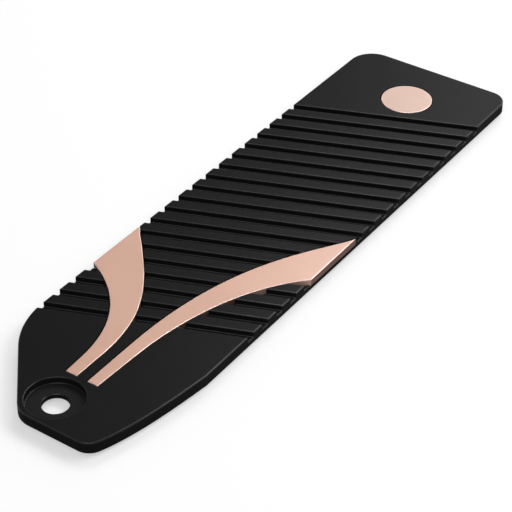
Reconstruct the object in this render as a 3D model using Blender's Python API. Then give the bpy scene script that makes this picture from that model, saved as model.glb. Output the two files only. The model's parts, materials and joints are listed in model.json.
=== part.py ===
"""Slim heat sink for a solid-state drive: a black finned plate with two inlays, a disc and a pad.

Everything is in metres, with +Z up. The world origin lies under the middle of the plate, on the
face of the pad that touches the drive. X runs from the nose, where the screw goes, to the far end.
Plan places are measured from the nose end and from the middle line, and plan() turns them into
world X and Y. Heights inside the plate are measured from its underside.
"""

import math
from dataclasses import dataclass

import bmesh
import bpy
from mathutils import Vector
from mathutils.geometry import interpolate_bezier

# Plate
PLATE_LENGTH = 0.0936
PLATE_WIDTH = 0.0250
PLATE_THICKNESS = 0.0016
FAR_LEFT_RADIUS = 0.00375
FAR_RIGHT_RADIUS = 0.0026
EDGE_ROUND = 0.00015
BASE_CHAMFER = 0.0001

# Nose, whose left cheek is a straight slope and whose right cheek is a shallow bow
LEFT_CHEEK_SLOPE = math.radians(40)
LEFT_CHEEK_FOOT = 0.00195
LEFT_SHOULDER_RADIUS = 0.0126
NOSE_LEFT_RADIUS = 0.00345
NOSE_RIGHT_RADIUS = 0.0023
RIGHT_CHEEK_FOOT = 0.0086
RIGHT_CHEEK_LENGTH = 0.0175
RIGHT_CHEEK_NOSE_SLOPE = math.radians(22.4)
RIGHT_CHEEK_SIDE_SLOPE = math.radians(7.2)
RIGHT_CHEEK_BOW = 0.0049

# Fins
FIN_SLANT = math.radians(22)
FIN_WIDTH = 0.00168
GROOVE_WIDTH = 0.00123
GROOVE_DEPTH = 0.00080
GROOVE_FOOT_FILLET = 0.00013
FIN_ROUND = 0.00012
END_LAND = 0.01475
NOSE_LAND = 0.0200

# Screw hole, counterbored for a low head. It and the disc share a line beside the middle line.
FEATURE_LINE_OFFSET = 0.0003
SCREW_FROM_NOSE = 0.00424
SCREW_HOLE_RADIUS = 0.0017
SCREW_HEAD_RADIUS = 0.00367
SCREW_SEAT_THICKNESS = 0.00065
SCREW_HOLE_CHAMFER = 0.0001

# Inlays, cut from sheet and bonded into pockets
INLAY_THICKNESS = 0.0010
INLAY_ROUND = 0.0001
INLAY_SEAM = 0.00012
BOND_THICKNESS = 0.0001

# Disc
DISC_RADIUS = 0.00375
DISC_THICKNESS = 0.0005
DISC_FROM_END = 0.00906

# Pad
PAD_LENGTH = 0.0700
PAD_WIDTH = 0.0200
PAD_THICKNESS = 0.0005
PAD_FROM_NOSE = 0.0130
PAD_CORNER_RADIUS = 0.0005

# How finely curves are faceted, and how far a cutter runs past what it cuts
CHORD_ERROR = 0.000003
CURVE_STEPS = 28
ROUND_STEPS = 3
OVERCUT = 0.0010
SHARP_ANGLE = math.radians(24)


@dataclass(frozen=True)
class InlayEdge:
    """One long edge of an inlay: straight from its tail, then a bow that ends on the plate's side."""

    tail_offset: float  # from the middle line, positive to the left
    tail_slope: float
    straight_to: float  # from the nose
    leave_pull: float
    side_at: float  # from the nose
    side_slope: float
    side_pull: float


@dataclass(frozen=True)
class Inlay:
    """A swoosh between two long edges, with a square tail by the nose."""

    name: str
    side: int  # 1 ends on the left side of the plate, -1 on the right
    tail_from_nose: float
    leading: InlayEdge  # meets the side nearer the nose
    trailing: InlayEdge


LEFT_INLAY = Inlay(
    name="left_inlay",
    side=1,
    tail_from_nose=0.00866,
    leading=InlayEdge(
        tail_offset=0.00179,
        tail_slope=math.radians(2.4),
        straight_to=0.0117,
        leave_pull=0.01087,
        side_at=0.02726,
        side_slope=math.radians(60.7),
        side_pull=0.00217,
    ),
    trailing=InlayEdge(
        tail_offset=0.00008,
        tail_slope=0.0,
        straight_to=0.0131,
        leave_pull=0.00972,
        side_at=0.03683,
        side_slope=math.radians(43.1),
        side_pull=0.01286,
    ),
)
RIGHT_INLAY = Inlay(
    name="right_inlay",
    side=-1,
    tail_from_nose=0.00864,
    leading=InlayEdge(
        tail_offset=-0.00310,
        tail_slope=math.radians(-2.2),
        straight_to=0.0151,
        leave_pull=0.0011,
        side_at=0.0402,
        side_slope=math.radians(-44.7),
        side_pull=0.0129,
    ),
    trailing=InlayEdge(
        tail_offset=-0.00152,
        tail_slope=0.0,
        straight_to=0.0170,
        leave_pull=0.0214,
        side_at=0.0509,
        side_slope=math.radians(-23.8),
        side_pull=0.0049,
    ),
)

# Heights of the pieces, each from the one below it
PLATE_BASE = PAD_THICKNESS + BOND_THICKNESS
GROOVE_FLOOR = PLATE_THICKNESS - GROOVE_DEPTH
INLAY_POCKET_FLOOR = PLATE_THICKNESS - INLAY_THICKNESS - BOND_THICKNESS
DISC_POCKET_FLOOR = PLATE_THICKNESS - DISC_THICKNESS - BOND_THICKNESS


def plan(from_nose, from_middle):
    """The world X and Y of a place given from the nose end and the middle line."""
    return Vector((from_nose - PLATE_LENGTH / 2, from_middle))


def heading(angle):
    """The plan direction at this angle from +X."""
    return Vector((math.cos(angle), math.sin(angle)))


def arc(centre, radius, start, sweep):
    """Points along an arc, both ends included, no further than CHORD_ERROR from the true one."""
    widest = 2 * math.acos(1 - CHORD_ERROR / radius)
    steps = max(2, math.ceil(abs(sweep) / widest))
    return [centre + radius * heading(start + sweep * i / steps) for i in range(steps + 1)]


def rounded_corner(before, corner, after, radius):
    """The arc that replaces a corner between two straight edges."""
    back = (before - corner).normalized()
    forth = (after - corner).normalized()
    half = back.angle(forth) / 2
    reach = radius / math.tan(half)
    centre = corner + (back + forth).normalized() * radius / math.sin(half)
    first = corner + back * reach - centre
    last = corner + forth * reach - centre
    start = math.atan2(first.y, first.x)
    sweep = math.remainder(math.atan2(last.y, last.x) - start, 2 * math.pi)
    return arc(centre, radius, start, sweep)


def bow(start, leave_angle, leave_pull, end, arrive_angle, arrive_pull):
    """A smooth curve that leaves and arrives at the given headings."""
    leave = start + leave_pull * heading(leave_angle)
    arrive = end - arrive_pull * heading(arrive_angle)
    return interpolate_bezier(start, leave, arrive, end, CURVE_STEPS)


def grown(outline, distance):
    """A closed outline, counter-clockwise, moved outwards by a distance."""
    moved = []
    for i, point in enumerate(outline):
        along = (point - outline[i - 1]).normalized()
        onward = (outline[(i + 1) % len(outline)] - point).normalized()
        out = Vector((along.y + onward.y, -along.x - onward.x)).normalized()
        moved.append(point + out * distance / out.dot(Vector((onward.y, -onward.x))))
    return moved


def plate_outline():
    """The plate's plan, counter-clockwise from the far right corner."""
    side = PLATE_WIDTH / 2
    far_right = plan(PLATE_LENGTH, -side)
    far_left = plan(PLATE_LENGTH, side)
    cheek_run = (side - LEFT_CHEEK_FOOT) / math.tan(LEFT_CHEEK_SLOPE)
    left_shoulder = plan(cheek_run, side)
    nose_left = plan(0, LEFT_CHEEK_FOOT)
    nose_right = plan(0, -RIGHT_CHEEK_FOOT)
    right_shoulder = plan(RIGHT_CHEEK_LENGTH, -side)
    nose_corner = rounded_corner(
        nose_left, nose_right, nose_right + heading(-RIGHT_CHEEK_NOSE_SLOPE), NOSE_RIGHT_RADIUS
    )
    right_cheek = bow(
        nose_corner[-1],
        -RIGHT_CHEEK_NOSE_SLOPE,
        RIGHT_CHEEK_BOW,
        right_shoulder,
        -RIGHT_CHEEK_SIDE_SLOPE,
        RIGHT_CHEEK_BOW,
    )
    return (
        rounded_corner(right_shoulder, far_right, far_left, FAR_RIGHT_RADIUS)
        + rounded_corner(far_right, far_left, left_shoulder, FAR_LEFT_RADIUS)
        + rounded_corner(far_left, left_shoulder, nose_left, LEFT_SHOULDER_RADIUS)
        + rounded_corner(left_shoulder, nose_left, nose_right, NOSE_LEFT_RADIUS)
        + nose_corner
        + right_cheek[1:]
    )


def inlay_edge(inlay, edge, run_past):
    """One long edge of an inlay from its tail to the plate's side, and past it by run_past."""
    tail = plan(inlay.tail_from_nose, edge.tail_offset)
    straight = (edge.straight_to - inlay.tail_from_nose) / math.cos(edge.tail_slope)
    turn = tail + straight * heading(edge.tail_slope)
    side = plan(edge.side_at, inlay.side * PLATE_WIDTH / 2)
    points = [tail]
    points += bow(turn, edge.tail_slope, edge.leave_pull, side, edge.side_slope, edge.side_pull)
    if run_past:
        points.append(side + heading(edge.side_slope) * run_past / abs(math.sin(edge.side_slope)))
    return points


def inlay_outline(inlay, run_past=0.0):
    """An inlay's plan, counter-clockwise."""
    leading = inlay_edge(inlay, inlay.leading, run_past)
    trailing = inlay_edge(inlay, inlay.trailing, run_past)
    if inlay.side > 0:
        return trailing + leading[::-1]
    return leading + trailing[::-1]


def groove_places():
    """Where the grooves cross the middle line, from the nose, starting at the far one."""
    across = 1 / math.cos(FIN_SLANT)
    place = PLATE_LENGTH - END_LAND - GROOVE_WIDTH * across / 2
    places = []
    while place > NOSE_LAND:
        places.append(place)
        place -= (FIN_WIDTH + GROOVE_WIDTH) * across
    return places


def rounded_edge_profile(edge, top, radius):
    """Points of a cutter that leaves a rounded edge at height top, then runs on above it.

    Each point is a distance beyond the wall, starting at edge, and a height.
    """
    points = []
    for i in range(ROUND_STEPS):
        angle = math.pi / 2 * i / ROUND_STEPS
        points.append((edge + radius * (1 - math.cos(angle)), top - radius * (1 - math.sin(angle))))
    last_chord = (edge + radius - points[-1][0]) / (top - points[-1][1])
    rise = radius / 4
    points.append((edge + radius + rise * last_chord, top + rise))
    points.append((points[-1][0], top + OVERCUT))
    return points


def fillet_profile(wall, floor, radius):
    """Points of a cutter that leaves a fillet between a floor and a wall, from the floor up."""
    points = []
    for i in range(ROUND_STEPS + 1):
        angle = math.pi / 2 * i / ROUND_STEPS
        points.append((wall - radius * (1 - math.sin(angle)), floor + radius * (1 - math.cos(angle))))
    return points


def finish_mesh(bm, name):
    """The mesh made from a bmesh, with normals out, smooth faces and sharp creases."""
    bmesh.ops.recalc_face_normals(bm, faces=bm.faces)
    mesh = bpy.data.meshes.new(name)
    bm.to_mesh(mesh)
    bm.free()
    mesh.shade_smooth()
    mesh.set_sharp_from_angle(angle=SHARP_ANGLE)
    return mesh


def prism(outline, bottom, top):
    """A bmesh that fills an outline between two heights."""
    bm = bmesh.new()
    base = bm.faces.new([bm.verts.new((point.x, point.y, bottom)) for point in outline])
    made = bmesh.ops.extrude_face_region(bm, geom=[base])
    lifted = [item for item in made["geom"] if isinstance(item, bmesh.types.BMVert)]
    bmesh.ops.translate(bm, verts=lifted, vec=(0, 0, top - bottom))
    return bm


def soften_rim(bm, level, width, segments):
    """Rounds or chamfers the edges that lie at one height."""
    rim = [edge for edge in bm.edges if all(abs(v.co.z - level) < width / 8 for v in edge.verts)]
    bmesh.ops.bevel(bm, geom=rim, offset=width, segments=segments, profile=0.5, affect="EDGES")


def turned(profile):
    """A bmesh of a profile of radii and heights, spun about Z. It starts and ends on the axis."""
    bm = bmesh.new()
    points = [bm.verts.new((radius, 0, height)) for radius, height in profile]
    edges = [bm.edges.new(pair) for pair in zip(points, points[1:])]
    widest = max(radius for radius, _ in profile)
    steps = 8 * math.ceil(2 * math.pi / (2 * math.acos(1 - CHORD_ERROR / widest)) / 8)
    bmesh.ops.spin(
        bm,
        geom=points + edges,
        axis=(0, 0, 1),
        cent=(0, 0, 0),
        angle=2 * math.pi,
        steps=steps,
        use_merge=True,
    )
    bmesh.ops.remove_doubles(bm, verts=bm.verts, dist=1e-7)
    return bm


def groove_cutter():
    """All grooves as slanted channels with filleted feet, opening out at the fins' rounded edges."""
    half = GROOVE_WIDTH / 2
    right = fillet_profile(half, GROOVE_FLOOR, GROOVE_FOOT_FILLET)
    right += rounded_edge_profile(half, PLATE_THICKNESS, FIN_ROUND)
    section = right + [(-across, height) for across, height in reversed(right)]
    along = heading(math.pi / 2 + FIN_SLANT)
    sideways = heading(FIN_SLANT)
    reach = (PLATE_WIDTH / 2 + OVERCUT) / math.cos(FIN_SLANT) + OVERCUT
    bm = bmesh.new()
    for place in groove_places():
        start = plan(place, 0) - reach * along
        ring = []
        for across, height in section:
            spot = start + across * sideways
            ring.append(bm.verts.new((spot.x, spot.y, height)))
        made = bmesh.ops.extrude_face_region(bm, geom=[bm.faces.new(ring)])
        moved = [item for item in made["geom"] if isinstance(item, bmesh.types.BMVert)]
        run = 2 * reach * along
        bmesh.ops.translate(bm, verts=moved, vec=(run.x, run.y, 0))
    return finish_mesh(bm, "groove_cutter")


def inlay_pocket_cutter(inlay):
    """The pocket for an inlay, with a seam all round, open at the plate's side."""
    outline = grown(inlay_outline(inlay, run_past=OVERCUT), INLAY_SEAM)
    bm = prism(outline, INLAY_POCKET_FLOOR, PLATE_THICKNESS + OVERCUT)
    return finish_mesh(bm, inlay.name + "_pocket_cutter")


def disc_pocket_cutter():
    """The round pocket for the disc, with the same seam."""
    radius = DISC_RADIUS + INLAY_SEAM
    top = PLATE_THICKNESS + OVERCUT
    bm = turned([(0, DISC_POCKET_FLOOR), (radius, DISC_POCKET_FLOOR), (radius, top), (0, top)])
    return finish_mesh(bm, "disc_pocket_cutter")


def screw_hole_cutter():
    """The screw hole, its chamfered mouth, and the counterbore with a filleted foot."""
    hole = SCREW_HOLE_RADIUS
    seat = SCREW_SEAT_THICKNESS
    profile = [(0, -OVERCUT), (hole, -OVERCUT), (hole, seat - SCREW_HOLE_CHAMFER)]
    profile.append((hole + SCREW_HOLE_CHAMFER, seat))
    profile += fillet_profile(SCREW_HEAD_RADIUS, seat, GROOVE_FOOT_FILLET)
    profile += rounded_edge_profile(SCREW_HEAD_RADIUS, PLATE_THICKNESS, FIN_ROUND)
    profile.append((0, PLATE_THICKNESS + OVERCUT))
    return finish_mesh(turned(profile), "screw_hole_cutter")


def material(name, colour, roughness, metallic):
    """A Principled material in one colour."""
    made = bpy.data.materials.new(name)
    made.use_nodes = True
    shader = made.node_tree.nodes["Principled BSDF"]
    shader.inputs["Base Color"].default_value = (*colour, 1.0)
    shader.inputs["Roughness"].default_value = roughness
    shader.inputs["Metallic"].default_value = metallic
    return made


def add_object(mesh, name, parent, place, finish=None):
    """Puts a mesh in the scene under its parent, at a place, in its material."""
    made = bpy.data.objects.new(name, mesh)
    bpy.context.scene.collection.objects.link(made)
    made.parent = parent
    made.location = place
    if finish:
        mesh.materials.append(finish)
    return made


def keep_flats_flat(solid):
    """Weights the smooth shading by area, so that wide faces stay flat beside their rounded edges."""
    weighted = solid.modifiers.new("flat_faces", "WEIGHTED_NORMAL")
    weighted.mode = "FACE_AREA"
    weighted.weight = 100
    weighted.keep_sharp = True


def cut(body, mesh, place=(0, 0, 0)):
    """Cuts a mesh out of the body, through a hidden cutter that the body carries."""
    cutter = add_object(mesh, mesh.name, body, place)
    cutter.hide_render = True
    cutter.display_type = "WIRE"
    boolean = body.modifiers.new(mesh.name, "BOOLEAN")
    boolean.operation = "DIFFERENCE"
    boolean.solver = "EXACT"
    boolean.object = cutter
    return cutter


def clear_scene():
    """Removes the objects that the file opens with."""
    for leftover in list(bpy.data.objects):
        bpy.data.objects.remove(leftover, do_unlink=True)


def make_body(parent, finish):
    """The plate: its outline and softened edges, then the grooves, pockets and screw hole."""
    bm = prism(plate_outline(), 0, PLATE_THICKNESS)
    soften_rim(bm, PLATE_THICKNESS, EDGE_ROUND, ROUND_STEPS)
    soften_rim(bm, 0, BASE_CHAMFER, 1)
    body = add_object(
        finish_mesh(bm, "heat_sink_body"), "heat_sink_body", parent, (0, 0, PLATE_BASE), finish
    )
    cut(body, groove_cutter())
    cut(body, inlay_pocket_cutter(LEFT_INLAY))
    cut(body, inlay_pocket_cutter(RIGHT_INLAY))
    cut(body, disc_pocket_cutter(), (*disc_centre(), 0))
    cut(body, screw_hole_cutter(), (*screw_centre(), 0))
    return body


def disc_centre():
    """The disc's centre in plan."""
    return plan(PLATE_LENGTH - DISC_FROM_END, -FEATURE_LINE_OFFSET)


def screw_centre():
    """The screw hole's centre in plan."""
    return plan(SCREW_FROM_NOSE, -FEATURE_LINE_OFFSET)


def make_inlay(inlay, parent, finish):
    """A flat swoosh with a softened upper rim, level with the fins' tops."""
    bm = prism(inlay_outline(inlay), 0, INLAY_THICKNESS)
    soften_rim(bm, INLAY_THICKNESS, INLAY_ROUND, ROUND_STEPS)
    seat = PLATE_BASE + INLAY_POCKET_FLOOR + BOND_THICKNESS
    return add_object(finish_mesh(bm, inlay.name), inlay.name, parent, (0, 0, seat), finish)


def make_disc(parent, finish):
    """The bare round disc in the far land, level with its surface."""
    flat = DISC_THICKNESS - INLAY_ROUND
    profile = [(0, 0), (DISC_RADIUS, 0)]
    for i in range(ROUND_STEPS + 1):
        angle = math.pi / 2 * i / ROUND_STEPS
        radius = DISC_RADIUS - INLAY_ROUND * (1 - math.cos(angle))
        profile.append((radius, flat + INLAY_ROUND * math.sin(angle)))
    profile.append((0, DISC_THICKNESS))
    seat = PLATE_BASE + DISC_POCKET_FLOOR + BOND_THICKNESS
    mesh = finish_mesh(turned(profile), "badge_disc")
    return add_object(mesh, "badge_disc", parent, (*disc_centre(), seat), finish)


def make_pad(parent, finish):
    """The soft pad between the plate's underside and the drive."""
    corners = [
        Vector((x * PAD_LENGTH / 2, y * PAD_WIDTH / 2))
        for x, y in ((1, -1), (1, 1), (-1, 1), (-1, -1))
    ]
    outline = []
    for i, corner in enumerate(corners):
        outline += rounded_corner(corners[i - 1], corner, corners[(i + 1) % 4], PAD_CORNER_RADIUS)
    mesh = finish_mesh(prism(outline, 0, PAD_THICKNESS), "thermal_pad")
    centre = plan(PAD_FROM_NOSE + PAD_LENGTH / 2, 0)
    return add_object(mesh, "thermal_pad", parent, (*centre, 0), finish)


def main():
    """Builds the heat sink."""
    clear_scene()
    black = material("black_anodised_aluminium", (0.022, 0.022, 0.023), 0.42, 0.6)
    rose_gold = material("rose_gold", (0.78, 0.52, 0.42), 0.28, 1.0)
    silicone = material("grey_silicone", (0.30, 0.33, 0.36), 0.75, 0.0)
    heat_sink = bpy.data.objects.new("heat_sink", None)
    bpy.context.scene.collection.objects.link(heat_sink)
    solids = [
        make_body(heat_sink, black),
        make_inlay(LEFT_INLAY, heat_sink, rose_gold),
        make_inlay(RIGHT_INLAY, heat_sink, rose_gold),
        make_disc(heat_sink, rose_gold),
        make_pad(heat_sink, silicone),
    ]
    for solid in solids:
        keep_flats_flat(solid)


main()
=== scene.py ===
"""Looks of the finned heat sink: its surface finishes, a white floor, soft lamps and the camera.

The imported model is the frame, in metres, with +Z up and the nose towards -X. Every metal piece
here is a welded copy of a solid of that model, so that rounded edges shade smoothly, and stands
for that solid. The plate's copy also gets three small changes of shape, and the pad keeps the
mesh of its solid.
"""

import json
import logging
import math
from collections.abc import Callable
from dataclasses import dataclass
from enum import Enum

import bmesh
import bpy
from mathutils import Matrix, Vector

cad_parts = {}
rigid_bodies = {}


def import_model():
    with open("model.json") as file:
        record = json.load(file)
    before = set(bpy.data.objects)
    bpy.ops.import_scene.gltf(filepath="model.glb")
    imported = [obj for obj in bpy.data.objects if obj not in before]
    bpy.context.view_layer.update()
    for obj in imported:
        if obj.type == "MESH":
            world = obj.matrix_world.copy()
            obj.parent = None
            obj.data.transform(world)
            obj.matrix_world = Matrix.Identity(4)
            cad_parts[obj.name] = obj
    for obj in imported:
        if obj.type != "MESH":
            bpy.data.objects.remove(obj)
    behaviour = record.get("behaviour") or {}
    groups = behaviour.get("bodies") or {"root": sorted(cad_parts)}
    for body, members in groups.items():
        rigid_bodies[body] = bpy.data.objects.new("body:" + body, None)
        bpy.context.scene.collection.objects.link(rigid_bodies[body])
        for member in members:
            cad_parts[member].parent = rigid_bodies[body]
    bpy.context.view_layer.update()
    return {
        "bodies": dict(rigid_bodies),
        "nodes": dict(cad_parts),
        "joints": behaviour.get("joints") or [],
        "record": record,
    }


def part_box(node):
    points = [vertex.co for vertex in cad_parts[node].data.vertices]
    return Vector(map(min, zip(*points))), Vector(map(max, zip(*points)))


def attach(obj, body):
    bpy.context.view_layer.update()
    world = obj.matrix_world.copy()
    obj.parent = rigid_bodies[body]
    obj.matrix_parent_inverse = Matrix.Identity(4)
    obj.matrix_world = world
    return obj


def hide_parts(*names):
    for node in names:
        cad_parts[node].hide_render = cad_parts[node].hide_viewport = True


LOG = logging.getLogger("heat_sink")
ROOT_BODY = "root"
MM = 0.001
MICRON = 0.000001

# The values that a noise pattern is taken to run between: what lies beyond is cut off.
CORE_SPAN = (0.3, 0.7)
WIDE_SPAN = (0.25, 0.75)

Colour = tuple[float, float, float]
Point = tuple[float, float, float]
Span = tuple[float, float]


class Slot(Enum):
    """The material slots of the record, which the metal pieces carry."""

    BLACK = "black_anodised"
    ROSE_GOLD = "rose_gold"


class Grain(Enum):
    """The way in which a satin face was brushed."""

    STRAIGHT = "straight"
    TURNED = "turned"


class Zone(Enum):
    """The zones of a piece's surface, each of which may have a finish of its own."""

    FACE = 0
    RIM = 1
    WALL = 2
    END = 3


Finishes = dict[Zone, bpy.types.Material]


def rgba(colour: Colour) -> tuple[float, float, float, float]:
    """A colour with full alpha."""
    return (*colour, 1.0)


def darker(colour: Colour, share: float) -> Colour:
    """A colour of which only a share is left."""
    return tuple(share * part for part in colour)


class Wiring:
    """Adds the nodes of one material and joins them up."""

    def __init__(self, name: str) -> None:
        """Starts a material.

        Args:
            name: what the material is called.
        """
        self.material = bpy.data.materials.new(name)
        self.material.use_nodes = True
        self.tree = self.material.node_tree
        self.shader = self.tree.nodes["Principled BSDF"]

    def add(self, kind: str, **settings: object) -> bpy.types.Node:
        """Adds a node.

        Args:
            kind: the node's type in the shader editor.
            settings: its properties, by name.

        Returns:
            The new node.
        """
        node = self.tree.nodes.new(kind)
        for key, value in settings.items():
            setattr(node, key, value)
        return node

    def join(self, source: object, target: bpy.types.NodeSocket) -> None:
        """Links an output to an input, or sets the input where the source is a number or colour.

        Args:
            source: an output socket, or a plain value.
            target: the input that takes it.
        """
        if isinstance(source, bpy.types.NodeSocket):
            self.tree.links.new(source, target)
        else:
            target.default_value = source

    def place(self) -> bpy.types.NodeSocket:
        """The shaded point, in the piece's own coordinates."""
        return self.add("ShaderNodeTexCoord").outputs["Object"]

    def mapped(
        self,
        vector: bpy.types.NodeSocket,
        unit: Point,
        turn: float = 0.0,
        centre: Point = (0, 0, 0),
    ) -> bpy.types.NodeSocket:
        """Centres a pattern on a point, turns it about Z and then scales it.

        Args:
            vector: the coordinates that come in.
            unit: how long one unit of the pattern is along each axis, in metres.
            turn: how far the pattern is turned about Z, in radians.
            centre: the point that becomes the pattern's origin.

        Returns:
            The coordinates of the pattern.
        """
        moved = self.add("ShaderNodeMapping", vector_type="POINT")
        moved.inputs["Location"].default_value = [-part for part in centre]
        self.join(vector, moved.inputs["Vector"])
        turned = self.add("ShaderNodeMapping", vector_type="TEXTURE")
        turned.inputs["Rotation"].default_value = (0, 0, turn)
        turned.inputs["Scale"].default_value = unit
        self.join(moved.outputs["Vector"], turned.inputs["Vector"])
        return turned.outputs["Vector"]

    def noise(
        self,
        vector: bpy.types.NodeSocket,
        lump: float = 1.0,
        detail: float = 2.0,
        rough: float = 0.5,
    ) -> bpy.types.NodeSocket:
        """A soft random pattern between 0 and 1.

        Args:
            vector: the coordinates of the pattern.
            lump: how large its lumps are in these coordinates.
            detail: how many finer layers it has.
            rough: how strong these are.

        Returns:
            The pattern's value.
        """
        node = self.add("ShaderNodeTexNoise")
        self.join(vector, node.inputs["Vector"])
        node.inputs["Scale"].default_value = 1 / lump
        node.inputs["Detail"].default_value = detail
        node.inputs["Roughness"].default_value = rough
        return node.outputs["Fac"]

    def maths(self, operation: str, first: object, second: object) -> bpy.types.NodeSocket:
        """One step of arithmetic.

        Args:
            operation: its name in the Math node.
            first: a socket or a number.
            second: a socket or a number.

        Returns:
            The result.
        """
        node = self.add("ShaderNodeMath", operation=operation)
        self.join(first, node.inputs[0])
        self.join(second, node.inputs[1])
        return node.outputs["Value"]

    def ranged(
        self, value: bpy.types.NodeSocket, span: Span, result: Span
    ) -> bpy.types.NodeSocket:
        """Maps one range of values to another, with a clamp at both ends.

        Args:
            value: what comes in.
            span: the two values that it runs between.
            result: what these two become.

        Returns:
            The mapped value.
        """
        node = self.add("ShaderNodeMapRange", clamp=True)
        self.join(value, node.inputs["Value"])
        names = ("From Min", "From Max", "To Min", "To Max")
        for name, number in zip(names, (*span, *result)):
            node.inputs[name].default_value = number
        return node.outputs["Result"]

    def around(
        self, pattern: bpy.types.NodeSocket, middle: float, reach: float, span: Span = CORE_SPAN
    ) -> bpy.types.NodeSocket:
        """A value that a pattern moves to both sides of its middle.

        Args:
            pattern: the pattern.
            middle: the value halfway.
            reach: how far it moves up where the pattern is high, and down where it is low.
            span: the two values that the pattern runs between.

        Returns:
            The value.
        """
        return self.ranged(pattern, span, (middle - reach, middle + reach))

    def mixed(self, share: object, first: object, second: object) -> bpy.types.NodeSocket:
        """Mixes two colours.

        Args:
            share: how much of the second there is.
            first: a colour or a socket.
            second: a colour or a socket.

        Returns:
            The mixture.
        """
        node = self.add("ShaderNodeMix", data_type="RGBA")
        self.join(share, node.inputs["Factor"])
        for name, colour in (("A", first), ("B", second)):
            plain = not isinstance(colour, bpy.types.NodeSocket)
            self.join(rgba(colour) if plain else colour, node.inputs[name])
        return node.outputs["Result"]

    def blended(
        self,
        pattern: bpy.types.NodeSocket,
        first: object,
        second: object,
        span: Span = CORE_SPAN,
        most: float = 1.0,
    ) -> bpy.types.NodeSocket:
        """Mixes two colours by a pattern.

        Args:
            pattern: the pattern.
            first: the colour where it is low, or a socket.
            second: the colour where it is high, or a socket.
            span: the two values that the pattern runs between.
            most: the largest share of the second colour.

        Returns:
            The mixture.
        """
        return self.mixed(self.ranged(pattern, span, (0, most)), first, second)

    def paint(self, colour: bpy.types.NodeSocket) -> None:
        """Gives the shader its colour."""
        self.join(colour, self.shader.inputs["Base Color"])

    def roughen(self, roughness: bpy.types.NodeSocket) -> None:
        """Gives the shader its roughness."""
        self.join(roughness, self.shader.inputs["Roughness"])

    def bump(self, height: bpy.types.NodeSocket, distance: float, strength: float) -> None:
        """Gives the shader a relief.

        Args:
            height: the relief's height, from 0 to 1.
            distance: what a height of 1 means, in metres.
            strength: how much of it shows.
        """
        node = self.add("ShaderNodeBump")
        node.inputs["Distance"].default_value = distance
        node.inputs["Strength"].default_value = strength
        self.join(height, node.inputs["Height"])
        self.join(node.outputs["Normal"], self.shader.inputs["Normal"])

    def constants(self, **values: object) -> None:
        """Sets the shader's own sockets.

        Args:
            values: what each socket holds, by its name in lower case with underscores.
        """
        names = {socket.name.lower().replace(" ", "_"): socket for socket in self.shader.inputs}
        for key, value in values.items():
            names[key].default_value = value


@dataclass(frozen=True)
class BlackAnodised:
    """Fine-blasted aluminium, anodised and dyed black, with groove floors painted lighter as painted
    light.
    """

    colour: Colour = (0.0082, 0.0082, 0.0083)
    worn: Colour = (0.0098, 0.0098, 0.0099)
    worn_share: float = 0.5
    lit_floor: Colour = (0.0140, 0.0140, 0.0141)
    specular_level: float = 0.06
    roughness: float = 0.30
    uneven: float = 0.015
    blasted_pit: float = 0.045 * MM
    mottle: float = 0.5 * MM
    cloud: float = 7 * MM
    groove_turn: float = math.radians(22)
    milled_below: float = 1.6 * MM
    milled_fade: float = 0.1 * MM
    tool_mark: float = 0.07 * MM
    tool_mark_length: float = 4.2 * MM
    tool_mark_gloss: float = 0.05
    tool_mark_height: float = 0.8
    pit_height: float = 0.5
    relief: float = 1.2 * MICRON

    def milling(
        self, wiring: Wiring, place: bpy.types.NodeSocket
    ) -> tuple[bpy.types.NodeSocket, bpy.types.NodeSocket]:
        """Finds the groove floors and draws their tool marks.

        Args:
            wiring: the material's nodes.
            place: the shaded point.

        Returns:
            A share that is 1 on the groove floors, and the marks.
        """
        height = wiring.add("ShaderNodeSeparateXYZ")
        wiring.join(place, height.inputs["Vector"])
        floors = wiring.ranged(
            height.outputs["Z"], (self.milled_below, self.milled_below - self.milled_fade), (0, 1)
        )
        along = wiring.mapped(place, (self.tool_mark, self.tool_mark_length, 1), self.groove_turn)
        return floors, wiring.noise(along, rough=0.6)

    def material(self) -> bpy.types.Material:
        """Builds the finish.

        Returns:
            The material.
        """
        wiring = Wiring("satin_black_anodising")
        place = wiring.place()
        pits = wiring.noise(place, self.blasted_pit, detail=1.0)
        mottle = wiring.noise(place, self.mottle, detail=3.0, rough=0.6)
        cloud = wiring.noise(place, self.cloud, detail=3.0, rough=0.55)
        floors, marks = self.milling(wiring, place)
        tops = wiring.blended(cloud, self.colour, self.worn, most=self.worn_share)
        # Painted light: the floors below the top are painted lighter, standing in for the light that
        # falls on them.
        wiring.paint(wiring.mixed(floors, tops, self.lit_floor))
        satin = wiring.maths(
            "ADD",
            wiring.around(cloud, self.roughness, self.uneven, WIDE_SPAN),
            wiring.around(mottle, 0, self.uneven, WIDE_SPAN),
        )
        streaks = wiring.maths("MULTIPLY", floors, wiring.around(marks, 0, self.tool_mark_gloss))
        wiring.roughen(wiring.maths("ADD", satin, streaks))
        milled_marks = wiring.maths("MULTIPLY", marks, floors)
        relief = wiring.maths(
            "ADD",
            wiring.maths("MULTIPLY", pits, self.pit_height),
            wiring.maths("MULTIPLY", milled_marks, self.tool_mark_height),
        )
        wiring.bump(relief, self.relief, strength=0.7)
        wiring.constants(metallic=0.0, specular_ior_level=self.specular_level)
        return wiring.material


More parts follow.
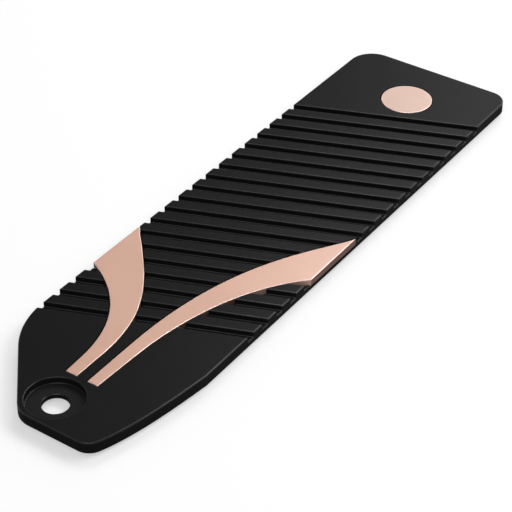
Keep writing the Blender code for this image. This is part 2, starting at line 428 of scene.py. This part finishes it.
@dataclass(frozen=True)
class BlackWall:
    """The cut side walls of the black plate and its fins, matt, with faint level cutter lines."""

    colour: Colour = (0.0105, 0.0105, 0.0106)
    dark: Colour = (0.0070, 0.0070, 0.0071)
    specular_level: float = 0.008
    roughness: float = 0.50
    uneven: float = 0.05
    cutter_line: float = 0.06 * MM
    cutter_line_length: float = 3 * MM
    relief: float = 1.0 * MICRON

    def material(self) -> bpy.types.Material:
        """Builds the finish.

        Returns:
            The material.
        """
        wiring = Wiring("matt_black_cut_walls")
        unit = (self.cutter_line_length, self.cutter_line_length, self.cutter_line)
        lines = wiring.noise(wiring.mapped(wiring.place(), unit), rough=0.6)
        wiring.paint(wiring.blended(lines, self.colour, self.dark))
        wiring.roughen(wiring.around(lines, self.roughness, self.uneven))
        wiring.bump(lines, self.relief, strength=0.5)
        wiring.constants(metallic=0.0, specular_ior_level=self.specular_level)
        return wiring.material


@dataclass(frozen=True)
class BlackEdge:
    """The rounded edges of the black plate, which handling has worn a little smoother, painted
    lighter as a painted highlight.
    """

    colour: Colour = (0.0135, 0.0135, 0.0137)
    rubbed_highlight: Colour = (0.0210, 0.0210, 0.0212)
    rubbed_span: Span = (0.45, 0.7)
    rubbed_share: float = 0.6
    specular_level: float = 0.22
    roughness: float = 0.27
    smoothed: float = 0.03
    rubbed_spot: float = 1.6 * MM
    grain: float = 0.06 * MM
    relief: float = 0.6 * MICRON

    def material(self) -> bpy.types.Material:
        """Builds the finish.

        Returns:
            The material.
        """
        wiring = Wiring("rubbed_black_edges")
        place = wiring.place()
        rub = wiring.noise(place, self.rubbed_spot, detail=3.0, rough=0.6)
        grain = wiring.noise(place, self.grain, detail=1.0)
        # Painted highlight: the edges are painted lighter than the faces, and lighter still in
        # random patches.
        wiring.paint(
            wiring.blended(rub, self.colour, self.rubbed_highlight, self.rubbed_span, self.rubbed_share)
        )
        wiring.roughen(wiring.around(rub, self.roughness, -self.smoothed))
        wiring.bump(grain, self.relief, strength=0.5)
        wiring.constants(metallic=0.0, specular_ior_level=self.specular_level)
        return wiring.material


@dataclass(frozen=True)
class RoseGold:
    """Satin-brushed aluminium, anodised rose gold and sealed with a clear layer."""

    colour: Colour = (0.684, 0.441, 0.347)
    pale: Colour = (0.713, 0.472, 0.378)
    roughness: float = 0.66
    uneven: float = 0.05
    cloudy: float = 0.02
    cloud: float = 4 * MM
    clear_layer: float = 0.8
    clear_roughness: float = 0.22
    grain: Grain = Grain.STRAIGHT
    centre: Point = (0.0, 0.0, 0.0)
    hair: float = 0.035 * MM
    hair_length: float = 2.45 * MM
    relief: float = 0.8 * MICRON

    def turned_rings(self, wiring: Wiring, place: bpy.types.NodeSocket) -> bpy.types.NodeSocket:
        """The distance from the centre, counted in hairs.

        Args:
            wiring: the material's nodes.
            place: the shaded point.

        Returns:
            Coordinates that change only from ring to ring.
        """
        in_plan = wiring.mapped(place, (1, 1, 1 / MM), centre=self.centre)
        radius = wiring.add("ShaderNodeVectorMath", operation="LENGTH")
        wiring.join(in_plan, radius.inputs[0])
        rings = wiring.add("ShaderNodeCombineXYZ")
        counted = wiring.maths("MULTIPLY", radius.outputs["Value"], 1 / self.hair)
        wiring.join(counted, rings.inputs["X"])
        return rings.outputs["Vector"]

    def hairs(self, wiring: Wiring, place: bpy.types.NodeSocket) -> bpy.types.NodeSocket:
        """The brushed hair lines.

        Args:
            wiring: the material's nodes.
            place: the shaded point.

        Returns:
            A streaked value from 0 to 1.
        """
        if self.grain is Grain.STRAIGHT:
            lines = wiring.mapped(place, (self.hair_length, self.hair, 1))
        else:
            lines = self.turned_rings(wiring, place)
        return wiring.noise(lines, detail=3.0, rough=0.6)

    def material(self) -> bpy.types.Material:
        """Builds the finish.

        Returns:
            The material.
        """
        wiring = Wiring(f"{self.grain.value}_satin_rose_gold")
        place = wiring.place()
        hairs = self.hairs(wiring, place)
        cloud = wiring.noise(place, self.cloud)
        wiring.paint(wiring.blended(hairs, self.colour, self.pale, WIDE_SPAN))
        satin = wiring.maths(
            "ADD",
            wiring.around(hairs, self.roughness, self.uneven, WIDE_SPAN),
            wiring.around(cloud, 0, self.cloudy),
        )
        wiring.roughen(satin)
        wiring.bump(hairs, self.relief, strength=0.6)
        wiring.constants(
            metallic=1.0, coat_weight=self.clear_layer, coat_roughness=self.clear_roughness
        )
        return wiring.material


@dataclass(frozen=True)
class BrightRim:
    """The diamond-cut rim of a rose-gold piece, paler partly as cut metal and partly as a painted
    highlight.
    """

    colour: Colour = (0.77, 0.58, 0.515)
    chatter_share: float = 0.94
    roughness: float = 0.42
    uneven: float = 0.03
    chatter: float = 0.25 * MM

    def material(self) -> bpy.types.Material:
        """Builds the finish.

        Returns:
            The material.
        """
        wiring = Wiring("bright_rose_gold_rim")
        chatter = wiring.noise(wiring.place(), self.chatter)
        # Partly painted highlight: the rim is painted paler than the face.
        dull = darker(self.colour, self.chatter_share)
        wiring.paint(wiring.blended(chatter, self.colour, dull))
        wiring.roughen(wiring.around(chatter, self.roughness, self.uneven))
        wiring.constants(metallic=1.0)
        return wiring.material


@dataclass(frozen=True)
class CutWall:
    """The sawn side walls of a rose-gold piece, dull, in lit and shaded copies: painted light and
    shade.
    """

    name: str
    colour: Colour
    specular_level: float = 0.2
    saw_line_share: float = 0.8
    metallic: float = 0.3
    roughness: float = 0.5
    uneven: float = 0.06
    saw_line: float = 0.05 * MM
    saw_line_length: float = 2 * MM
    relief: float = 1.0 * MICRON

    def material(self) -> bpy.types.Material:
        """Builds the finish.

        Returns:
            The material.
        """
        wiring = Wiring(self.name)
        unit = (self.saw_line_length, self.saw_line_length, self.saw_line)
        saw = wiring.noise(wiring.mapped(wiring.place(), unit))
        wiring.paint(wiring.blended(saw, self.colour, darker(self.colour, self.saw_line_share)))
        wiring.roughen(wiring.around(saw, self.roughness, self.uneven))
        wiring.bump(saw, self.relief, strength=0.5)
        wiring.constants(metallic=self.metallic, specular_ior_level=self.specular_level)
        return wiring.material


# Painted shade: a shaded copy of the sawn wall, for the left inlay and the disc.
SHADED_WALL = CutWall("dark_sawn_rose_gold", (0.060, 0.042, 0.034))
# Painted light: a lit copy of the same sawn wall, for the right inlay.
WALL = CutWall("sawn_rose_gold", (0.51, 0.340, 0.285))
# Painted shade: the ends flush with the plate's edge are painted darker.
SHADED_END = CutWall("ground_rose_gold_end", (0.154, 0.080, 0.059), specular_level=0.1)


@dataclass(frozen=True)
class FilledSilicone:
    """Grey silicone filled with ceramic powder, matt and faintly speckled."""

    colour: Colour = (0.30, 0.33, 0.36)
    dark: Colour = (0.20, 0.225, 0.25)
    dark_share: float = 0.5
    light: Colour = (0.46, 0.49, 0.52)
    light_span: Span = (0.55, 0.75)
    specular_level: float = 0.35
    roughness: Span = (0.64, 0.77)
    powder: float = 0.12 * MM
    cloud: float = 6 * MM
    cloud_height: float = 4.0
    relief: float = 6 * MICRON

    def material(self) -> bpy.types.Material:
        """Builds the finish.

        Returns:
            The material.
        """
        wiring = Wiring("filled_grey_silicone")
        place = wiring.place()
        powder = wiring.noise(place, self.powder, rough=0.6)
        cloud = wiring.noise(place, self.cloud, detail=3.0)
        grey = wiring.blended(cloud, self.colour, self.dark, most=self.dark_share)
        wiring.paint(wiring.blended(powder, grey, self.light, self.light_span))
        wiring.roughen(wiring.ranged(powder, CORE_SPAN, self.roughness))
        waves = wiring.maths("MULTIPLY", cloud, self.cloud_height)
        wiring.bump(wiring.maths("ADD", powder, waves), self.relief, strength=0.8)
        wiring.constants(metallic=0.0, specular_ior_level=self.specular_level)
        return wiring.material


@dataclass(frozen=True)
class WhiteFloor:
    """The matt white floor under the object."""

    colour: Colour = (0.56, 0.56, 0.56)
    lift: float = 0.45

    def material(self) -> bpy.types.Material:
        """Builds the finish, a little lighter for the camera and in reflections.

        Returns:
            The material.
        """
        wiring = Wiring("matt_white_floor")
        ray = wiring.add("ShaderNodeLightPath").outputs
        mirrored = wiring.maths("MAXIMUM", ray["Is Glossy Ray"], ray["Is Transmission Ray"])
        seen = wiring.maths("MAXIMUM", ray["Is Camera Ray"], mirrored)
        lift = wiring.maths("MULTIPLY", seen, self.lift)
        wiring.join(lift, wiring.shader.inputs["Emission Strength"])
        wiring.constants(
            base_color=rgba(self.colour),
            emission_color=rgba((1, 1, 1)),
            roughness=1.0,
            specular_ior_level=0.0,
        )
        return wiring.material


def select_only(thing: bpy.types.Object) -> None:
    """Makes one object the active and only selected one.

    Args:
        thing: the object.
    """
    bpy.ops.object.select_all(action="DESELECT")
    thing.select_set(True)
    bpy.context.view_layer.objects.active = thing


def pick_vertices(piece: bpy.types.Object, wanted: Callable[[Vector], bool]) -> None:
    """Selects vertices of a piece by their place, in edit mode.

    Args:
        piece: the piece, which is in edit mode.
        wanted: tells from a vertex's place whether to select it.
    """
    bpy.ops.mesh.select_mode(type="VERT")
    bpy.ops.mesh.select_all(action="DESELECT")
    mesh = bmesh.from_edit_mesh(piece.data)
    for vertex in mesh.verts:
        vertex.select_set(wanted(vertex.co))
    bmesh.update_edit_mesh(piece.data)


@dataclass
class MetalPiece:
    """A solid of the frame as a welded, smoothly shaded piece in its finishes.

    The weld is a distance, level and crease are angles between faces, and upright, flat and
    sideways are limits on the parts of a face's normal.
    """

    name: str
    node: str
    slot: Slot
    weld: float = 0.5 * MICRON
    level: float = math.radians(0.2)
    crease: float = math.radians(24)
    upright: float = 0.05
    flat: float = 0.995
    flat_weight: int = 100
    sideways: float = 0.9

    def weld_copy(self, frame: dict) -> bpy.types.Object:
        """Copies the solid, joins its loose triangles and clears the edges inside flat faces.


        Returns:
            The copy, without finishes.
        """
        solid = frame["nodes"][self.node]
        piece = bpy.data.objects.new(self.name, solid.data.copy())
        piece.data.name = self.name
        piece.data.materials.clear()
        bpy.context.scene.collection.objects.link(piece)
        select_only(piece)
        bpy.ops.mesh.customdata_custom_splitnormals_clear()
        bpy.ops.object.mode_set(mode="EDIT")
        bpy.ops.mesh.select_all(action="SELECT")
        bpy.ops.mesh.remove_doubles(threshold=self.weld)
        bpy.ops.mesh.dissolve_limited(angle_limit=self.level)
        bpy.ops.mesh.normals_make_consistent(inside=False)
        bpy.ops.object.mode_set(mode="OBJECT")
        bpy.ops.object.shade_smooth_by_angle(angle=self.crease)
        return piece

    def shape(self, piece: bpy.types.Object) -> None:
        """Adds the piece's own small details, where it has any."""

    def keep_flats_flat(self, piece: bpy.types.Object) -> None:
        """Weights the shading by area, so that wide faces stay flat beside their rims.

        Args:
            piece: the welded copy.
        """
        weighted = piece.modifiers.new("flat_faces", "WEIGHTED_NORMAL")
        weighted.mode = "FACE_AREA"
        weighted.weight = self.flat_weight
        weighted.keep_sharp = True
        select_only(piece)
        bpy.ops.object.modifier_apply(modifier=weighted.name)

    def zone(self, face: bpy.types.MeshPolygon) -> Zone:
        """Tells a wall, an end flush with the plate's edge, a rim and a flat face apart.

        Args:
            face: one face of the piece.

        Returns:
            The zone that it belongs to.
        """
        if abs(face.normal.z) <= self.upright:
            return Zone.END if abs(face.normal.y) > self.sideways else Zone.WALL
        return Zone.RIM if 0 < face.normal.z < self.flat else Zone.FACE

    def dress(self, piece: bpy.types.Object, finishes: Finishes) -> None:
        """Gives each zone its finish.

        Args:
            piece: the welded copy.
            finishes: a material for every zone.
        """
        for zone in Zone:
            piece.data.materials.append(finishes[zone])
        for face in piece.data.polygons:
            face.material_index = self.zone(face).value

    def build(self, frame: dict, finishes: Finishes) -> bpy.types.Object:
        """Makes the piece and hangs it on the frame.

        Args:
            finishes: a material for every zone.

        Returns:
            The piece.
        """
        piece = self.weld_copy(frame)
        self.shape(piece)
        self.keep_flats_flat(piece)
        self.dress(piece, finishes)
        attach(piece, ROOT_BODY)
        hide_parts(self.node)
        LOG.info("%s: %d faces", self.name, len(piece.data.polygons))
        return piece


@dataclass(frozen=True)
class Stub:
    """A sliver of a fin that is left between a groove and an inlay's tip.

    Its low and high corners are those of a box round it in plan, in mm.
    """

    low: tuple[float, float]
    high: tuple[float, float]

    def holds(self, point: Vector) -> bool:
        """Tells whether a point is within the stub's outline.

        Args:
            point: a point of the plate.

        Returns:
            True where it is.
        """
        sides = zip(self.low, point, self.high)
        return all(low * MM < place < high * MM for low, place, high in sides)


@dataclass
class FinnedPlate(MetalPiece):
    """The black plate, with its stubs filed away, its walls' foot crisp and its lips eased.

    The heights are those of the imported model, and a lip is where a groove runs out at a long side.
    """

    stubs: tuple[Stub, ...] = (
        Stub((-20.45, 11.95), (-19.50, 12.60)),
        Stub((-7.10, -12.60), (-6.70, -12.30)),
    )
    lip: float = 0.10 * MM
    lip_steps: int = 2
    groove_floor: float = 1.4 * MM
    lip_top: float = 1.5 * MM
    wall_foot: float = 0.70 * MM
    crisp_foot: float = 0.62 * MM
    upward: float = 0.1

    def is_lip(self, edge: bmesh.types.BMEdge) -> bool:
        """Tells whether an edge joins a groove's floor or foot to a long side of the plate.

        Args:
            edge: one edge of the piece.

        Returns:
            True for such an edge.
        """
        if len(edge.link_faces) != 2:
            return False
        if not all(
            self.groove_floor - MICRON < vertex.co.z < self.lip_top for vertex in edge.verts
        ):
            return False
        side, floor = sorted(edge.link_faces, key=lambda face: face.normal.z)
        return abs(side.normal.y) > self.sideways and floor.normal.z > self.upward

    def file_stubs(self, piece: bpy.types.Object) -> None:
        """Brings the stubs down to the groove's floor.

        Args:
            piece: the welded copy, in edit mode.
        """
        above = self.groove_floor + MICRON
        for stub in self.stubs:
            pick_vertices(piece, lambda place: place.z > above and stub.holds(place))
            bpy.ops.transform.resize(value=(1, 1, 0), center_override=(0, 0, self.groove_floor))
        bpy.ops.mesh.select_all(action="SELECT")
        bpy.ops.mesh.remove_doubles(threshold=self.weld)
        bpy.ops.mesh.dissolve_degenerate(threshold=self.weld)
        bpy.ops.mesh.dissolve_limited(angle_limit=self.level)

    def lower_wall_foot(self, piece: bpy.types.Object) -> None:
        """Brings the foot of the side walls down, so that only a fine edge break stays below it.

        Args:
            piece: the welded copy, in edit mode.
        """
        pick_vertices(piece, lambda place: abs(place.z - self.wall_foot) < MICRON)
        bpy.ops.transform.translate(value=(0, 0, self.crisp_foot - self.wall_foot))

    def ease_lips(self, piece: bpy.types.Object) -> int:
        """Bevels the lips of the grooves.

        Args:
            piece: the welded copy, in edit mode.

        Returns:
            How many lip edges there were.
        """
        bpy.ops.mesh.select_all(action="DESELECT")
        bpy.ops.mesh.select_mode(type="EDGE")
        mesh = bmesh.from_edit_mesh(piece.data)
        lips = [edge for edge in mesh.edges if self.is_lip(edge)]
        for edge in lips:
            edge.select_set(True)
        bmesh.update_edit_mesh(piece.data)
        bpy.ops.mesh.bevel(offset=self.lip, segments=self.lip_steps, affect="EDGES")
        return len(lips)

    def shape(self, piece: bpy.types.Object) -> None:
        """Files the stubs away, makes the walls' foot crisp and eases the grooves' lips.

        Args:
            piece: the welded copy.
        """
        select_only(piece)
        bpy.ops.object.mode_set(mode="EDIT")
        self.file_stubs(piece)
        self.lower_wall_foot(piece)
        lips = self.ease_lips(piece)
        bpy.ops.object.mode_set(mode="OBJECT")
        bpy.ops.object.shade_smooth_by_angle(angle=self.crease)
        LOG.info("%s: %d lip edges eased", self.name, lips)


@dataclass(frozen=True)
class ThermalPad:
    """The silicone pad, which keeps the mesh of its solid."""

    node: str = "thermal_pad"

    def build(self, frame: dict, finish: bpy.types.Material) -> None:
        """Gives the pad its finish.

        Args:
            finish: the pad's material.
        """
        pad = frame["nodes"][self.node]
        pad.data.materials.clear()
        pad.data.materials.append(finish)
        LOG.info("%s: %d faces", self.node, len(pad.data.polygons))


@dataclass(frozen=True)
class SoftBox:
    """A rectangular lamp, placed by its direction from the object.

    Both angles are in degrees, and the distance and sizes are in metres.
    """

    name: str
    azimuth: float
    elevation: float
    distance: float
    width: float
    height: float
    radiance: float

    def build(self) -> bpy.types.Object:
        """Hangs the lamp and turns it to the object.

        Returns:
            The lamp.
        """
        azimuth, elevation = math.radians(self.azimuth), math.radians(self.elevation)
        towards = Vector(
            (
                math.cos(elevation) * math.cos(azimuth),
                math.cos(elevation) * math.sin(azimuth),
                math.sin(elevation),
            )
        )
        bpy.ops.object.light_add(type="AREA", location=towards * self.distance)
        lamp = bpy.context.active_object
        lamp.name = self.name
        lamp.rotation_euler = towards.to_track_quat("Z", "Y").to_euler()
        lamp.data.shape = "RECTANGLE"
        lamp.data.size = self.width
        lamp.data.size_y = self.height
        lamp.data.energy = self.radiance * math.pi * self.width * self.height
        return lamp


@dataclass
class Studio:
    """The floor, the surrounding light and the lamps."""

    floor_size: float = 6.0
    ambient: float = 0.28
    lamps: tuple[SoftBox, ...] = (
        SoftBox("high_back_lamp", 18, 48, distance=0.8, width=0.3, height=0.3, radiance=5.8),
        SoftBox("low_back_lamp", 14, 28, distance=0.8, width=0.3, height=0.3, radiance=1.7),
        SoftBox("right_lamp", -40, 42, distance=0.7, width=0.5, height=0.35, radiance=4.6),
        SoftBox("front_lamp", 205, 45, distance=0.8, width=0.6, height=0.5, radiance=2.0),
    )

    def lay_floor(self) -> bpy.types.Object:
        """Lays the floor under the pad.

        Returns:
            The floor.
        """
        bpy.ops.object.select_all(action="DESELECT")
        bpy.ops.mesh.primitive_plane_add(size=self.floor_size, location=(0, 0, 0))
        floor = bpy.context.active_object
        floor.name = "floor"
        floor.data.materials.append(WhiteFloor().material())
        return floor

    def light_surroundings(self) -> None:
        """Gives the scene an even white surrounding light."""
        world = bpy.data.worlds.new("studio")
        world.use_nodes = True
        tree = world.node_tree
        background = tree.nodes["Background"]
        background.inputs["Color"].default_value = (1, 1, 1, 1)
        background.inputs["Strength"].default_value = self.ambient
        bpy.context.scene.world = world

    def build(self) -> None:
        """Sets up the studio."""
        self.lay_floor()
        self.light_surroundings()
        for lamp in self.lamps:
            lamp.build()
        LOG.info("studio: floor and %d lamps", len(self.lamps))


@dataclass
class ProductCamera:
    """The camera, as fitted to the plate's edges in a square frame of 512 pixels."""

    frame_pixels: int = 512
    focal_pixels: float = 1745.475
    sensor: float = 36.0
    pitch: float = math.radians(36.9622)
    roll: float = math.radians(0.2738)
    head: float = math.radians(34.4383)
    place: Point = (-0.1553425, -0.10598, 0.1380025)
    near: float = 0.01

    def build(self) -> bpy.types.Object:
        """Places the camera and makes it the scene's own.

        Returns:
            The camera.
        """
        forward = Vector(
            (
                math.cos(self.pitch) * math.cos(self.head),
                math.cos(self.pitch) * math.sin(self.head),
                -math.sin(self.pitch),
            )
        )
        level = Vector((math.sin(self.head), -math.cos(self.head), 0))
        upright = level.cross(forward)
        right = math.cos(self.roll) * level + math.sin(self.roll) * upright
        up = math.cos(self.roll) * upright - math.sin(self.roll) * level
        bpy.ops.object.camera_add()
        camera = bpy.context.active_object
        camera.name = "camera"
        camera.data.sensor_width = self.sensor
        camera.data.lens = self.focal_pixels * self.sensor / self.frame_pixels
        camera.data.clip_start = self.near
        turn = Matrix((right, up, -forward)).transposed().to_4x4()
        camera.matrix_world = Matrix.Translation(self.place) @ turn
        bpy.context.scene.camera = camera
        return camera


def black_finishes() -> Finishes:
    """Makes the finishes of the plate.

    Returns:
        A material for every zone.
    """
    finishes = (BlackAnodised(), BlackEdge(), BlackWall())
    face, rim, wall = (finish.material() for finish in finishes)
    return {Zone.FACE: face, Zone.RIM: rim, Zone.WALL: wall, Zone.END: wall}


def disc_gold(centre: Point) -> RoseGold:
    """The disc's own rose gold, turned about its centre.

    Args:
        centre: the middle of the disc.

    Returns:
        The finish.
    """
    return RoseGold(
        colour=(0.628, 0.455, 0.380),
        pale=(0.655, 0.480, 0.405),
        grain=Grain.TURNED,
        centre=centre,
    )


def main() -> None:
    """Dresses the heat sink and sets up the studio and the camera."""
    logging.basicConfig(level=logging.INFO, format="%(message)s")
    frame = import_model()
    low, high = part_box("badge_disc")
    black = black_finishes()
    gold = RoseGold().material()
    turned_gold = disc_gold(tuple((low + high) / 2)).material()
    rim = BrightRim().material()
    # Painted shade and light: the left inlay and the disc get the shaded sawn walls, the right inlay
    # the lit ones, and the ends are painted darker.
    shaded_wall, wall, end = (cut.material() for cut in (SHADED_WALL, WALL, SHADED_END))
    left = {Zone.FACE: gold, Zone.RIM: rim, Zone.WALL: shaded_wall, Zone.END: end}
    right = {**left, Zone.WALL: wall}
    disc = {**left, Zone.FACE: turned_gold, Zone.END: shaded_wall}
    silicone = FilledSilicone().material()
    FinnedPlate("finned_plate", "heat_sink_body", Slot.BLACK).build(frame, black)
    MetalPiece("left_swoosh", "left_inlay", Slot.ROSE_GOLD).build(frame, left)
    MetalPiece("right_swoosh", "right_inlay", Slot.ROSE_GOLD).build(frame, right)
    MetalPiece("round_badge", "badge_disc", Slot.ROSE_GOLD).build(frame, disc)
    ThermalPad().build(frame, silicone)
    Studio().build()
    ProductCamera().build()
    bpy.context.scene.view_settings.view_transform = "Standard"


if __name__ == "__main__":
    main()
